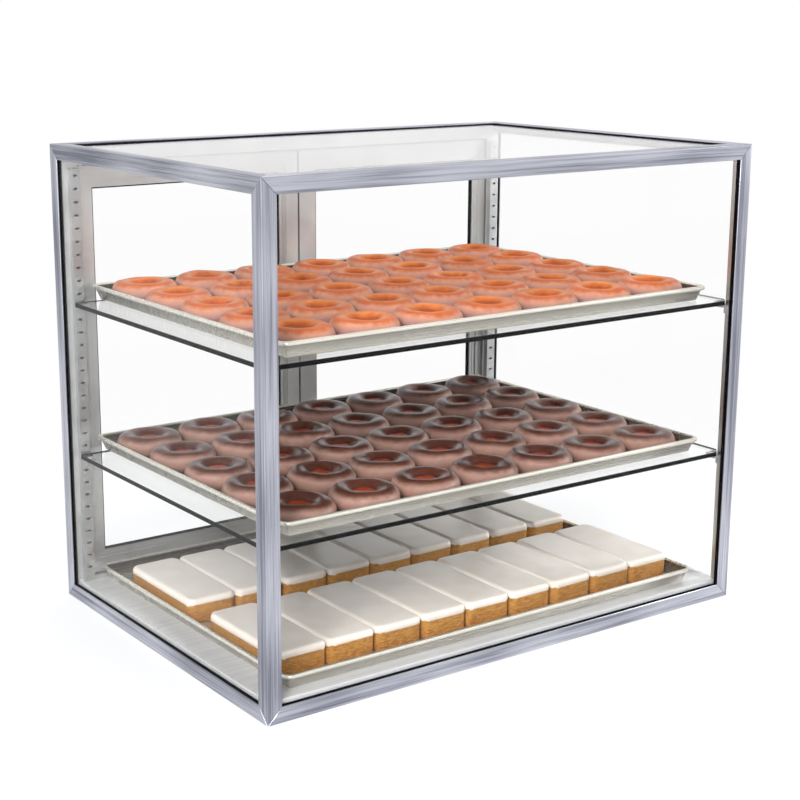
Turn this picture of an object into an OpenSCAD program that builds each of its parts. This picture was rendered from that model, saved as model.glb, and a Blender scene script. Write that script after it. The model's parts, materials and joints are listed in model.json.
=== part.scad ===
// Countertop bakery display case: a glazed box framed in mitred angle, with two
// pivot doors at the back, two glass shelves on slotted pilasters and three
// full-size sheet pans of baked goods. Millimetres, +Z up, front face towards -Y.

/* [Case] */
// Outside width of the case
case_w = 762; // [680:1:900]
// Outside depth of the case
case_d = 534; // [480:1:640]
// Outside height of the case
case_h = 632; // [600:1:720]

/* [Frame] */
// Face width of the frame angle
frame_face = 20; // [18:0.5:22]
// Thickness of the frame angle
frame_t = 1.5; // [1.2:0.1:2]

/* [Glazing] */
// Thickness of the case panes
pane_t = 5; // [4:0.5:6]
// Thickness of the gasket's walls round a case pane
gasket_t = 1; // [0.8:0.1:1.5]
// Wall of the glazing beads inside the front corners
bead_t = 1.2; // [1:0.1:1.6]
// Length of a glazing bead's returned lip
bead_lip = 5.5; // [4.5:0.5:6]

/* [Deck] */
// Height of the deck's upper face above the counter
deck_z = 22; // [20:0.5:24]
// Height of the folded rim above the deck
deck_rim_h = 4; // [2:0.5:6]
// Width of the folded rim
deck_rim_w = 6; // [5:0.5:9]
// Thickness of the folded sheets of the deck, header, sill and jambs
sheet_t = 1.5; // [1:0.1:2]

/* [Rear frame] */
// Depth of the jambs, header and sill, from the back of the case
rear_depth = 22; // [21:0.5:24]
// Distance from the case's side to the edge of the jamb's door stop
jamb_reach = 30; // [28:0.5:34]
// Height of the door sill above the counter
sill_z = 28; // [27:0.5:32]
// Height of the header channel
header_h = 19.5; // [18:0.5:26]

/* [Doors] */
// Thickness of the door frame
door_t = 16; // [15:0.5:17]
// Width of a door bar without its glazing lip
door_bar = 20; // [19:0.5:24]
// Width of the glazing lip
door_lip = 10; // [8:0.5:12]
// Thickness of the door glass
door_glass_t = 4; // [3:0.5:4]
// Gap beside a door's hinge edge, which lets it swing clear of the frame
door_side_gap = 4; // [3.5:0.1:5]
// Gap above and below a door
door_gap = 2; // [1.5:0.1:2.5]
// Gap between the two doors
meeting_gap = 3; // [2.8:0.1:4]
// Wall of the door extrusions
door_wall = 1.5; // [1.2:0.1:2]
// Distance that the door face sits in from the back of the case
door_inset = 1; // [0.5:0.1:1.2]
// Radius of the pivot pins
pivot_r = 3; // [2.5:0.1:3.5]
// Radial clearance of a pivot pin in its bush
pivot_clear = 0.05; // [0.02:0.01:0.1]
// Length of a pivot pin inside its bush
pivot_len = 8; // [6:0.5:10]

/* [Shelf standards] */
// Width of a pilaster
pilaster_w = 14; // [13:0.5:16]
// Depth of a pilaster
pilaster_d = 8; // [6:0.5:9]
// Sheet thickness of a pilaster
pilaster_t = 1.2; // [1:0.1:1.5]
// Height of the lowest slot's centre
slot_first_z = 45.2; // [44:0.1:47]
// Distance from slot to slot
slot_pitch = 17.6; // [17.4:0.05:18]
// Width of a slot
slot_w = 6; // [5.5:0.1:8]
// Height of a slot
slot_h = 3; // [2.8:0.1:4]

/* [Shelves] */
// Thickness of the glass shelves
shelf_t = 6; // [5:0.5:8]
// Gap between a shelf and the gaskets at its front and sides
shelf_gap = 3.5; // [2.5:0.5:5]
// Gap between a shelf and the pilasters behind it
shelf_rear_gap = 6; // [3:0.5:9]
// Number of slots below the one that carries the lower shelf
lower_slot_count = 9; // [8:1:10]
// Number of slots below the one that carries the upper shelf
upper_slot_count = 21; // [20:1:23]
// Thickness of a shelf clip's tab
clip_t = 3; // [2.5:0.1:3.2]

/* [Sheet pans] */
// Room in the case at each end of a pan
pan_end_room = 41.5; // [36:0.5:60]
// Room in the case in front of and behind a pan, together
pan_depth_room = 46; // [46:1:80]
// Height of a pan
pan_h = 21; // [18:1:26]
// Sheet thickness of a pan
pan_t = 1.2; // [1:0.1:1.6]
// Radius of the rolled bead round the rim
pan_bead_r = 3; // [2.5:0.1:3.5]
// Outside corner radius of the rim
pan_corner_r = 13; // [13:1:30]
// How far the walls lean out from floor to rim
pan_flare = 6; // [4:0.5:6]
// How far the pans stand back from the case's centre
pan_back = 2.5; // [0:0.5:3]

/* [Baked goods] */
// Radius of a doughnut's dough ring
nut_tube_r = 15.5; // [14:0.5:17]
// Height of the dough cut away where a doughnut sits flat
nut_sole = 3; // [1:0.5:5]
// Thickness of the dough left under a doughnut's dimple
nut_web = 20; // [14:1:22]
// Least gap between one doughnut and the next
nut_gap = 3; // [2:0.5:8]
// Pan length and depth that the doughnuts leave free at the walls, together
nut_margin = 18; // [17:0.5:26]
// Gap between one iced bar and the next in a row
bar_gap = 1; // [0.8:0.1:3]
// Gap between the two rows of bars
bar_row_gap = 44; // [8:1:50]
// Pan length that a row of bars leaves free at the walls, together
bar_margin = 27; // [26.5:0.5:50]
// Pan depth that the two rows of bars leave free
bar_depth_margin = 104; // [96:1:120]
// Height of an iced bar
bar_h = 35; // [28:1:45]
// Radius of a bar's upright edges
bar_corner_r = 12; // [8:0.5:16]
// Radius of a bar's upper edges
bar_top_r = 9; // [5:0.5:12]
// How far the bars stand forward of the pan's centre
bar_forward = 15; // [0:1:20]

/* [Hidden] */
$fn = 48;
eps = 0.01;
// Longer than any cutter needs to be
far = 2000;

// Pane planes, measured in from the outside faces of the case
gasket_out = frame_t;
pane_out = gasket_out + gasket_t;
pane_in = pane_out + pane_t;
gasket_in = pane_in + gasket_t;
pane_edge = gasket_in + gasket_t;

// Glazing bead legs run from the gasket to the edge of the frame face
bead_mouth = gasket_in + bead_lip;

// Rear frame, measured forward from the back of the case
jamb_front = rear_depth;
header_top = case_h - gasket_in;
header_z = header_top - header_h;

// Doors
door_x0 = frame_face + door_side_gap;
door_w = case_w / 2 - meeting_gap / 2 - door_x0;
door_z0 = sill_z + door_gap;
door_h = header_z - sill_z - 2 * door_gap;
hinge_r = door_t / 2;
pivot_x = door_x0 + hinge_r;
pivot_v = door_inset + hinge_r;
door_gasket_t = 1;
door_slot_t = door_glass_t + 2 * door_gasket_t;
lip_wall = 2;
lip_step = 0.8;
lip_t = door_slot_t + 2 * lip_wall;
slot_floor = 1.5;
glass_inset = door_bar + slot_floor + door_gasket_t;
gasket_proud = 2;
groove_w = 8;
groove_depth = 4.5;
groove_from_edge = 4;
plug_clear = 0.1;
plug_len = 18;
bush_wall = 1.5;
bush_flange_w = 1.5;
bush_r = pivot_r + pivot_clear + bush_wall;
bush_flange_t = door_gap - 0.3;
seal_reach = meeting_gap - 0.8;
seal_w = 5;

// Magnetic catches in the header, over strike plates on the doors' top rails
catch_l = 25;
catch_w = 9;
catch_h = 12;
catch_from_edge = 24;
strike_t = 0.8;
catch_air = 0.3;

// Pilasters and shelf clips
pilaster_x0 = jamb_reach - pilaster_w;
pilaster_front = jamb_front + pilaster_d;
pilaster_foot = 17;
pilaster_head_gap = 4;
pilaster_z0 = slot_first_z - pilaster_foot;
pilaster_z1 = header_z - pilaster_head_gap;
slot_margin = 8;
slot_count = floor((pilaster_z1 - slot_margin - slot_first_z) / slot_pitch) + 1;
tongue_w = slot_w - 2;
tongue_h = slot_h - 0.6;
hook_drop = 5;
hook_t = 2;
clip_w = 10;
clip_reach = 14;
front_clip_drop = 12;
front_clip_clear = 0.2;
front_clip_reach = 8;
slot_above_shelf = -clip_t / 2;

function slot_z(n) = slot_first_z + n * slot_pitch;
function shelf_z(n) = slot_z(n) - slot_above_shelf;

lower_shelf_z = shelf_z(lower_slot_count);
upper_shelf_z = shelf_z(upper_slot_count);
shelf_edge = gasket_in + shelf_gap;
shelf_w = case_w - 2 * shelf_edge;
shelf_d = case_d - shelf_edge - pilaster_front - shelf_rear_gap;
shelf_rear_r = 3;
// The front corners are cut off where x + y reaches this, past the beads' lips
bead_clear = 2;
shelf_cut = frame_face + bead_mouth + bead_clear;

// Pans: profile coordinates are measured outward from the rim's corner centres
pan_l = case_w - 2 * pan_end_room;
pan_d = case_d - pan_depth_room;
pan_bead_at = pan_corner_r - pan_bead_r;
pan_wall_top = pan_bead_at - pan_bead_r + pan_t;
pan_floor_edge = pan_wall_top - pan_flare;
pan_foot_r = 2;
nut_cols = 7;
nut_rows = 5;
nut_pitch_x = (pan_l - nut_margin) / nut_cols;
nut_pitch_y = (pan_d - nut_margin) / nut_rows;
nut_d = min(nut_pitch_x, nut_pitch_y) - nut_gap;
bar_cols = 9;
bar_rows = 2;
bar_pitch_x = (pan_l - bar_margin) / bar_cols;
bar_w = bar_pitch_x - bar_gap;
bar_l = (pan_d - bar_depth_margin - bar_row_gap) / bar_rows;
bar_pitch_y = bar_l + bar_row_gap;

// Finishes
steel = "#9a9caa";
bright = "#c9cccf";
black = "#161616";
clear = [0.85, 0.92, 0.9, 0.35];
warm = "#b3aea8";
nylon = "#e4e2da";

// Moves work measured from one outside corner of the case to that corner: each
// argument is 1 for the right, back or top side and 0 for the other.
module from_corner(right = 0, back = 0, top = 0) {
    translate([(right - 0.5) * case_w, (back - 0.5) * case_d, top * case_h])
        mirror([right, 0, 0]) mirror([0, back, 0]) mirror([0, 0, top]) children();
}

// Turns work that runs along X so that it runs along Y or Z, keeping the outside
// corner edge on the axis.
module along_y() {
    multmatrix([[0, 0, 1, 0], [1, 0, 0, 0], [0, 1, 0, 0], [0, 0, 0, 1]]) children();
}

module along_z() {
    multmatrix([[0, 1, 0, 0], [0, 0, 1, 0], [1, 0, 0, 0], [0, 0, 0, 1]]) children();
}

// Extrudes a cross-section drawn in (Y, Z) along X between two stations.
module run(from, to) {
    translate([from, 0, 0]) rotate([90, 0, 90]) linear_extrude(to - from) children();
}

// Cuts everything nearer to the end of a run than to its two faces, which is the
// three-way mitre of a corner where three members meet.
module mitre_cut(size) {
    wedge = [[-1, -1], [-1, size + 1], [size + 1, size + 1]];
    translate([0, 0, -1]) linear_extrude(size + 2) polygon(wedge);
    translate([0, size + 1, 0]) rotate([90, 0, 0]) linear_extrude(size + 2) polygon(wedge);
}

// A member along X with a mitre at its start and, if asked, at its end.
module mitred_run(length, size, both = true) {
    difference() {
        run(0, length) children();
        mitre_cut(size);
        if (both) translate([length, 0, 0]) mirror([1, 0, 0]) mitre_cut(size);
    }
}

// Cross-section of the frame angle.
module frame_section() {
    square([frame_face, frame_t]);
    square([frame_t, frame_face]);
}

// Cross-section of the glazing bead: an angle whose legs turn back in short lips.
module bead_section() {
    reach = frame_face - gasket_in;
    translate([gasket_in, gasket_in]) {
        square([reach, bead_t]);
        square([bead_t, reach]);
        translate([reach - bead_t, 0]) square([bead_t, bead_lip]);
        translate([0, reach - bead_t]) square([bead_lip, bead_t]);
    }
}

module rail_x(back, top) {
    color(steel) from_corner(0, back, top) mitred_run(case_w, frame_face) frame_section();
}

module rail_y(right, top) {
    color(steel) from_corner(right, 0, top)
        along_y() mitred_run(case_d, frame_face) frame_section();
}

module post(right, back) {
    color(steel) from_corner(right, back, 0)
        along_z() mitred_run(case_h, frame_face) frame_section();
}

// Flat blanks in the three planes: size a by b, from margin to margin, between two
// depths measured in from the outside face.
module front_blank(margin, out, in) {
    from_corner() translate([margin, out, margin])
        cube([case_w - 2 * margin, in - out, case_h - 2 * margin]);
}

module side_blank(right, margin, out, in) {
    from_corner(right) translate([out, margin, margin])
        cube([in - out, case_d - 2 * margin, case_h - 2 * margin]);
}

module top_blank(margin, out, in) {
    from_corner(0, 0, 1) translate([margin, margin, out])
        cube([case_w - 2 * margin, case_d - 2 * margin, in - out]);
}

module front_glass() {
    color(clear) front_blank(pane_edge, pane_out, pane_in);
}

module side_glass(right) {
    color(clear) side_blank(right, pane_edge, pane_out, pane_in);
}

module top_glass() {
    color(clear) top_blank(pane_edge, pane_out, pane_in);
}

module front_glass_gasket() {
    color(black) difference() {
        front_blank(gasket_in, gasket_out, gasket_in);
        front_blank(pane_edge, pane_out, pane_in);
        front_blank(frame_face, gasket_out - 1, gasket_in + 1);
    }
}

module side_glass_gaskets() {
    color(black) for (right = [0, 1]) difference() {
        side_blank(right, gasket_in, gasket_out, gasket_in);
        side_blank(right, pane_edge, pane_out, pane_in);
        side_blank(right, frame_face, gasket_out - 1, gasket_in + 1);
    }
}

module top_glass_gasket() {
    color(black) difference() {
        top_blank(gasket_in, gasket_out, gasket_in);
        top_blank(pane_edge, pane_out, pane_in);
        top_blank(frame_face, gasket_out - 1, gasket_in + 1);
    }
}

// Upright bead in a front corner, standing on the deck's rim.
module front_glass_bead(right) {
    color(bright) from_corner(right, 0, 1)
        along_z() difference() {
            mitred_run(case_h - deck_z - deck_rim_h, frame_face, false) bead_section();
        }
}

module front_top_glass_bead() {
    color(bright) from_corner(0, 0, 1) mitred_run(case_w, frame_face) bead_section();
}

// Side bead under the top pane, from the front corner to the jamb.
module side_top_glass_bead(right) {
    color(bright) from_corner(right, 0, 1)
        along_y() mitred_run(case_d - jamb_front, frame_face, false) bead_section();
}

// Folded tray: outer flanges that stand on the rails, a hollow rim on three sides
// and the sheet that the bottom pan stands on.
module deck() {
    rim_top = deck_z + deck_rim_h;
    w = case_w - 2 * gasket_in;
    d = case_d - gasket_in - jamb_front;
    color(bright) from_corner() translate([gasket_in, gasket_in, 0]) difference() {
        translate([0, 0, frame_t]) cube([w, d, rim_top - frame_t]);
        translate([deck_rim_w, deck_rim_w, deck_z]) cube([w - 2 * deck_rim_w, far, far]);
        translate([sheet_t, sheet_t, -1])
            cube([w - 2 * sheet_t, d - 2 * sheet_t, deck_z - sheet_t + 1]);
        difference() {
            translate([sheet_t, sheet_t, 0])
                cube([w - 2 * sheet_t, d - 2 * sheet_t, rim_top - sheet_t]);
            translate([deck_rim_w - sheet_t, deck_rim_w - sheet_t, -1])
                cube([w - 2 * (deck_rim_w - sheet_t), far, far]);
        }
    }
}

// Hollow jamb between the side pane and the door, with the lip that the door stops
// short of and the pilaster stands against.
module jamb(right) {
    w = frame_face - gasket_in;
    d = rear_depth - frame_t;
    color(warm) from_corner(right, 1) {
        translate([gasket_in, frame_t, frame_t]) difference() {
            cube([w, d, header_top - frame_t]);
            translate([sheet_t, sheet_t, -1]) cube([w - 2 * sheet_t, d - 2 * sheet_t, far]);
        }
        translate([frame_face - eps, rear_depth - sheet_t, sill_z])
            cube([jamb_reach - frame_face + eps, sheet_t, header_z - sill_z]);
    }
}

// Channel between the jambs, web down: cut for the pivot bushes.
module rear_channel(height) {
    w = case_w - 2 * frame_face;
    d = rear_depth - frame_t;
    difference() {
        cube([w, d, height]);
        translate([-1, sheet_t, sheet_t]) cube([w + 2, d - 2 * sheet_t, height]);
        for (x = [pivot_x - frame_face, w - pivot_x + frame_face])
            translate([x, pivot_v - frame_t, -1])
                cylinder(r = bush_r + pivot_clear, h = sheet_t + 2);
    }
}

module door_header() {
    color(warm) from_corner(0, 1) difference() {
        translate([frame_face, frame_t, header_z]) rear_channel(header_h);
        for (side = [-1, 1])
            translate([case_w / 2 + side * (catch_from_edge + catch_l / 2), pivot_v, header_z])
                cube([catch_l, catch_w, 4 * sheet_t], center = true);
    }
}

module door_sill() {
    color(warm) from_corner(0, 1) translate([frame_face, frame_t, sill_z])
        mirror([0, 0, 1]) rear_channel(sill_z - frame_t);
}

// Slot with round ends, drawn along X and cut through along Y.
module round_slot() {
    for (side = [-1, 1])
        translate([side * (slot_w - slot_h) / 2, 0, 0]) rotate([90, 0, 0])
            cylinder(d = slot_h, h = 4 * pilaster_t, center = true);
    cube([slot_w - slot_h, 4 * pilaster_t, slot_h], center = true);
}

// Slotted channel screwed to the front of a jamb.
module pilaster(right) {
    h = pilaster_z1 - pilaster_z0;
    color(bright) from_corner(right, 1) difference() {
        translate([pilaster_x0, jamb_front, pilaster_z0]) cube([pilaster_w, pilaster_d, h]);
        translate([pilaster_x0 + pilaster_t, jamb_front - 1, pilaster_z0 - 1])
            cube([pilaster_w - 2 * pilaster_t, pilaster_d - pilaster_t + 1, h + 2]);
        for (n = [0:slot_count - 1])
            translate([pilaster_x0 + pilaster_w / 2, pilaster_front, slot_z(n)]) round_slot();
    }
}

// Clip in a pilaster slot: a tab under the shelf, a tongue through the slot and a
// hook that drops behind the sheet.
module rear_clip(z) {
    tongue_end = pilaster_front - pilaster_t - front_clip_clear - hook_t;
    translate([pilaster_x0 + pilaster_w / 2, 0, z - clip_t / 2]) {
        translate([-clip_w / 2, pilaster_front, -clip_t / 2]) cube([clip_w, clip_reach, clip_t]);
        translate([-tongue_w / 2, tongue_end, -tongue_h / 2])
            cube([tongue_w, pilaster_front - tongue_end + eps, tongue_h]);
        translate([-tongue_w / 2, tongue_end, -tongue_h / 2 - hook_drop])
            cube([tongue_w, hook_t, hook_drop + eps]);
    }
}

module rear_shelf_clips() {
    color(bright) for (right = [0, 1], z = [lower_shelf_z, upper_shelf_z])
        from_corner(right, 1) rear_clip(z);
}

// Clip held in the open mouth of a front bead, with a square tab under the corner
// of the shelf.
module front_clip(z) {
    grip0 = gasket_in + bead_t + front_clip_clear;
    grip1 = frame_face - bead_t - front_clip_clear;
    tab0 = bead_mouth + front_clip_clear;
    tab = frame_face + front_clip_reach - tab0;
    translate([grip0, grip0, z - front_clip_drop])
        cube([grip1 - grip0, grip1 - grip0, front_clip_drop]);
    translate([tab0, tab0, z - clip_t]) cube([tab, tab, clip_t]);
}

module front_shelf_clips() {
    color(bright) for (right = [0, 1], z = [lower_shelf_z, upper_shelf_z])
        from_corner(right) front_clip(z);
}

// Rectangle with round corners, centred.
module round_rect(size, r) {
    square([size.x - 2 * r, size.y], center = true);
    square([size.x, size.y - 2 * r], center = true);
    for (x = [-1, 1], y = [-1, 1])
        translate([x * (size.x / 2 - r), y * (size.y / 2 - r)]) circle(r);
}

// Shelf outline with its two front corners cut off to pass the beads.
module shelf(z) {
    cut = shelf_cut - 2 * shelf_edge;
    color(clear) from_corner() translate([shelf_edge, shelf_edge, z]) linear_extrude(shelf_t)
        difference() {
            translate([shelf_w / 2, shelf_d / 2])
                round_rect([shelf_w, shelf_d], shelf_rear_r);
            for (x = [0, 1]) translate([x * shelf_w, 0]) mirror([x, 0])
                polygon([[-1, -1], [cut + 1, -1], [-1, cut + 1]]);
        }
}

// Nylon bush: a sleeve in the sheet and a flange that carries the door.
module pivot_bush() {
    difference() {
        union() {
            cylinder(r = bush_r, h = pivot_len + eps);
            translate([0, 0, -bush_flange_t]) cylinder(r = bush_r + bush_flange_w, h = bush_flange_t);
        }
        translate([0, 0, -bush_flange_t - 1])
            cylinder(r = pivot_r + pivot_clear, h = pivot_len + bush_flange_t + 2);
    }
}

module pivot_bushes() {
    color(nylon) for (right = [0, 1]) from_corner(right, 1) {
        translate([pivot_x, pivot_v, sill_z]) mirror([0, 0, 1]) pivot_bush();
        translate([pivot_x, pivot_v, header_z]) pivot_bush();
    }
}

module magnet_catches() {
    color(nylon) for (side = [-1, 1])
        from_corner(0, 1) translate([
            case_w / 2 + side * (catch_from_edge + catch_l / 2), pivot_v,
            door_z0 + door_h + strike_t + catch_air + catch_h / 2
        ])
            cube([catch_l - 2 * plug_clear, catch_w - 2 * plug_clear, catch_h], center = true);
}

// Door, measured from its lower outer corner: X along the door from the hinge side,
// Y forward from the door's back face, Z up.
module in_door(right) {
    from_corner(right, 1) translate([door_x0, door_inset, door_z0]) children();
}

// Glazing lip of a door bar in (Y, Z): stepped on both faces, open to the glass.
module lip_section() {
    mid = door_t / 2;
    difference() {
        union() {
            translate([mid - lip_t / 2 - lip_step, door_bar - eps])
                square([lip_t + 2 * lip_step, door_lip / 2 + eps]);
            translate([mid - lip_t / 2, door_bar - eps]) square([lip_t, door_lip + eps]);
        }
        translate([mid - door_slot_t / 2, door_bar + slot_floor])
            square([door_slot_t, door_lip]);
    }
}

// Lip along X between two corners, mitred in the plane of the door.
module lip_run(length) {
    reach = door_bar + door_lip;
    wedge = [[-1, -1], [-1, reach + 1], [reach + 1, reach + 1]];
    difference() {
        run(door_bar, length - door_bar) lip_section();
        for (end = [0, 1]) translate([end * length, -1, 0]) mirror([end, 0, 0])
            translate([0, door_t + 2, 0]) rotate([90, 0, 0]) linear_extrude(door_t + 2)
                polygon(wedge);
    }
}

// Turns a bar that runs along X, outer edge down, into an upright on the hinge side.
module upright() {
    multmatrix([[0, 0, 1, 0], [0, 1, 0, 0], [1, 0, 0, 0], [0, 0, 0, 1]]) children();
}

// Hollow bar with a half-round back, whose centre is the pivot axis.
module hinge_stile(right) {
    inner_r = hinge_r - door_wall;
    color(warm) in_door(right) {
        difference() {
            linear_extrude(door_h) {
                translate([hinge_r, hinge_r]) circle(hinge_r);
                translate([hinge_r, 0]) square([door_bar - hinge_r, door_t]);
            }
            translate([0, 0, -1]) linear_extrude(door_h + 2) hinge_cavity(inner_r);
        }
        upright() lip_run(door_h);
    }
}

module hinge_cavity(r) {
    translate([hinge_r, hinge_r]) circle(r);
    translate([hinge_r, hinge_r - r]) square([door_bar - hinge_r - (hinge_r - r), 2 * r]);
}

// Hollow bar with a finger groove down its back.
module meeting_stile(right) {
    cavity_y = groove_depth + door_wall;
    color(warm) in_door(right) translate([door_w, 0, 0]) mirror([1, 0, 0]) {
        difference() {
            cube([door_bar, door_t, door_h]);
            translate([door_wall, cavity_y, -1])
                cube([door_bar - 2 * door_wall, door_t - cavity_y - door_wall, door_h + 2]);
            translate([groove_from_edge, -1, -1])
                cube([groove_w, groove_depth + 1, door_h + 2]);
        }
        upright() lip_run(door_h);
    }
}

module door_rail(right, top) {
    color(warm) in_door(right) translate([0, 0, top * door_h]) mirror([0, 0, top]) {
        difference() {
            translate([door_bar, 0, 0]) cube([door_w - 2 * door_bar, door_t, door_bar]);
            translate([0, door_wall, door_wall])
                cube([door_w, door_t - 2 * door_wall, door_bar - 2 * door_wall]);
        }
        lip_run(door_w);
    }
}

// Plate in the door's plane, from inset to inset, about the middle of its thickness.
module door_blank(inset, t) {
    translate([inset, (door_t - t) / 2, inset])
        cube([door_w - 2 * inset, t, door_h - 2 * inset]);
}

module door_glass(right) {
    color(clear) in_door(right) door_blank(glass_inset, door_glass_t);
}

module door_gasket(right) {
    color(black) in_door(right) difference() {
        door_blank(glass_inset - door_gasket_t, door_slot_t);
        door_blank(glass_inset, door_glass_t);
        door_blank(door_bar + door_lip + gasket_proud, door_slot_t + 2);
    }
}

// Plug in the end of the hinge stile, with the pin that turns in the bush.
module pivot_plug() {
    linear_extrude(plug_len) hinge_cavity(hinge_r - door_wall - plug_clear);
    translate([hinge_r, hinge_r, -door_gap - pivot_len + plug_clear])
        cylinder(r = pivot_r, h = door_gap + pivot_len);
}

module door_pivots(right) {
    color(bright) in_door(right) {
        pivot_plug();
        translate([0, 0, door_h]) mirror([0, 0, 1]) pivot_plug();
    }
}

module door_strike(right) {
    color(bright) in_door(right)
        translate([
            door_w + meeting_gap / 2 - catch_from_edge - catch_l, (door_t - catch_w) / 2, door_h
        ])
            cube([catch_l, catch_w, strike_t]);
}

// Soft seal on the left door that fills the gap between the doors.
module door_meeting_seal() {
    r = seal_reach / 2;
    color(black) in_door(0) translate([door_w, door_t / 2, 0]) linear_extrude(door_h) {
        translate([0, -seal_w / 2]) square([r, seal_w]);
        translate([r, 0]) circle(r);
    }
}

// Carries a profile round a rectangle with round corners: the profile's X is
// measured outward from the corner centres.
module round_sweep(size, r) {
    x = size.x / 2 - r;
    y = size.y / 2 - r;
    for (turn = [0:3]) rotate(90 * turn) {
        a = turn % 2 == 0 ? x : y;
        b = turn % 2 == 0 ? y : x;
        translate([a, b, 0]) rotate_extrude(angle = 90) children();
        translate([a, b, 0]) rotate([90, 0, 0]) linear_extrude(2 * b) children();
    }
}

// Wall of a pan: a rounded foot, a leaning wall and the rolled bead at the rim.
module pan_wall() {
    lean = atan2(pan_flare, pan_h - pan_bead_r);
    foot = [for (a = [-90:15:-lean])
        [pan_floor_edge - pan_foot_r + pan_foot_r * cos(a), pan_foot_r + pan_foot_r * sin(a)]];
    inner_r = pan_foot_r - pan_t;
    inside = [for (a = [-lean:-15:-90])
        [pan_floor_edge - pan_foot_r + inner_r * cos(a), pan_foot_r + inner_r * sin(a)]];
    polygon(concat(
        foot,
        [[pan_wall_top, pan_h - pan_bead_r], [pan_wall_top - pan_t, pan_h - pan_bead_r]],
        inside
    ));
    translate([pan_bead_at, pan_h - pan_bead_r]) circle(pan_bead_r, $fn = 24);
}

// Full-size sheet pan standing on a surface at height z.
module sheet_pan(z) {
    floor_r = pan_floor_edge - pan_foot_r + eps;
    floor = [
        pan_l - 2 * (pan_corner_r - floor_r), pan_d - 2 * (pan_corner_r - floor_r)
    ];
    color(bright) translate([0, pan_back, z]) {
        linear_extrude(pan_t) round_rect(floor, floor_r);
        round_sweep([pan_l, pan_d], pan_corner_r) pan_wall();
    }
}

// Spreads copies over a pan's floor in columns and rows.
module on_pan(z, cols, rows, pitch_x, pitch_y, forward = 0) {
    for (i = [0:cols - 1], j = [0:rows - 1])
        translate([
            (i - (cols - 1) / 2) * pitch_x,
            (j - (rows - 1) / 2) * pitch_y + pan_back - forward,
            z + pan_t
        ])
            children();
}

// Ring doughnut: a round dough ring with a flat sole and a dimple in the middle.
module doughnut() {
    ring_r = nut_d / 2 - nut_tube_r;
    rotate_extrude() translate([0, -nut_sole]) intersection() {
        union() {
            translate([ring_r, nut_tube_r]) circle(nut_tube_r);
            translate([0, nut_sole]) square([ring_r, nut_web]);
        }
        translate([0, nut_sole]) square([nut_d, nut_d]);
    }
}

module doughnut_tray(z, tint) {
    color(tint) on_pan(z, nut_cols, nut_rows, nut_pitch_x, nut_pitch_y) doughnut();
}

// Outline with its two upper corners rounded, standing on X.
module loaf_section(w, h, r) {
    translate([-w / 2, 0]) square([w, h - r]);
    translate([-w / 2 + r, 0]) square([w - 2 * r, h]);
    for (side = [-1, 1]) translate([side * (w / 2 - r), h - r]) circle(r);
}

// Iced bar: an upright block with rounded corners, rounded again over its top.
module iced_bar() {
    intersection() {
        linear_extrude(bar_h) round_rect([bar_w, bar_l], bar_corner_r);
        translate([0, bar_l, 0]) rotate([90, 0, 0])
            linear_extrude(2 * bar_l) loaf_section(bar_w, bar_h, bar_top_r);
        translate([-bar_w, 0, 0]) rotate([90, 0, 90])
            linear_extrude(2 * bar_w) loaf_section(bar_l, bar_h, bar_top_r);
    }
}

module iced_bars() {
    color("#e3dccf")
        on_pan(deck_z, bar_cols, bar_rows, bar_pitch_x, bar_pitch_y, bar_forward) iced_bar();
}

rail_x(0, 0);  // front_bottom_rail
rail_x(1, 0);  // rear_bottom_rail
rail_y(0, 0);  // left_bottom_rail
rail_y(1, 0);  // right_bottom_rail
rail_x(0, 1);  // front_top_rail
rail_x(1, 1);  // rear_top_rail
rail_y(0, 1);  // left_top_rail
rail_y(1, 1);  // right_top_rail
post(0, 0);  // front_left_post
post(1, 0);  // front_right_post
post(0, 1);  // rear_left_post
post(1, 1);  // rear_right_post
front_glass();
side_glass(0);  // left_glass
side_glass(1);  // right_glass
top_glass();
front_glass_gasket();
side_glass_gaskets();
top_glass_gasket();
front_glass_bead(0);  // front_left_glass_bead
front_glass_bead(1);  // front_right_glass_bead
front_top_glass_bead();
side_top_glass_bead(0);  // left_top_glass_bead
side_top_glass_bead(1);  // right_top_glass_bead
deck();
jamb(0);  // left_jamb
jamb(1);  // right_jamb
door_header();
door_sill();
pilaster(0);  // left_pilaster
pilaster(1);  // right_pilaster
rear_shelf_clips();
front_shelf_clips();
pivot_bushes();
magnet_catches();
shelf(upper_shelf_z);  // upper_shelf
shelf(lower_shelf_z);  // lower_shelf
sheet_pan(upper_shelf_z + shelf_t);  // top_pan
sheet_pan(lower_shelf_z + shelf_t);  // middle_pan
sheet_pan(deck_z);  // bottom_pan
doughnut_tray(upper_shelf_z + shelf_t, "#d97b3d");  // glazed_doughnuts
doughnut_tray(lower_shelf_z + shelf_t, "#6b3c2b");  // chocolate_doughnuts
iced_bars();
hinge_stile(0);  // left_door_hinge_stile
meeting_stile(0);  // left_door_meeting_stile
door_rail(0, 1);  // left_door_top_rail
door_rail(0, 0);  // left_door_bottom_rail
door_glass(0);  // left_door_glass
door_gasket(0);  // left_door_gasket
door_pivots(0);  // left_door_pivots
door_strike(0);  // left_door_strike
door_meeting_seal();
hinge_stile(1);  // right_door_hinge_stile
meeting_stile(1);  // right_door_meeting_stile
door_rail(1, 1);  // right_door_top_rail
door_rail(1, 0);  // right_door_bottom_rail
door_glass(1);  // right_door_glass
door_gasket(1);  // right_door_gasket
door_pivots(1);  // right_door_pivots
door_strike(1);  // right_door_strike
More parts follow.
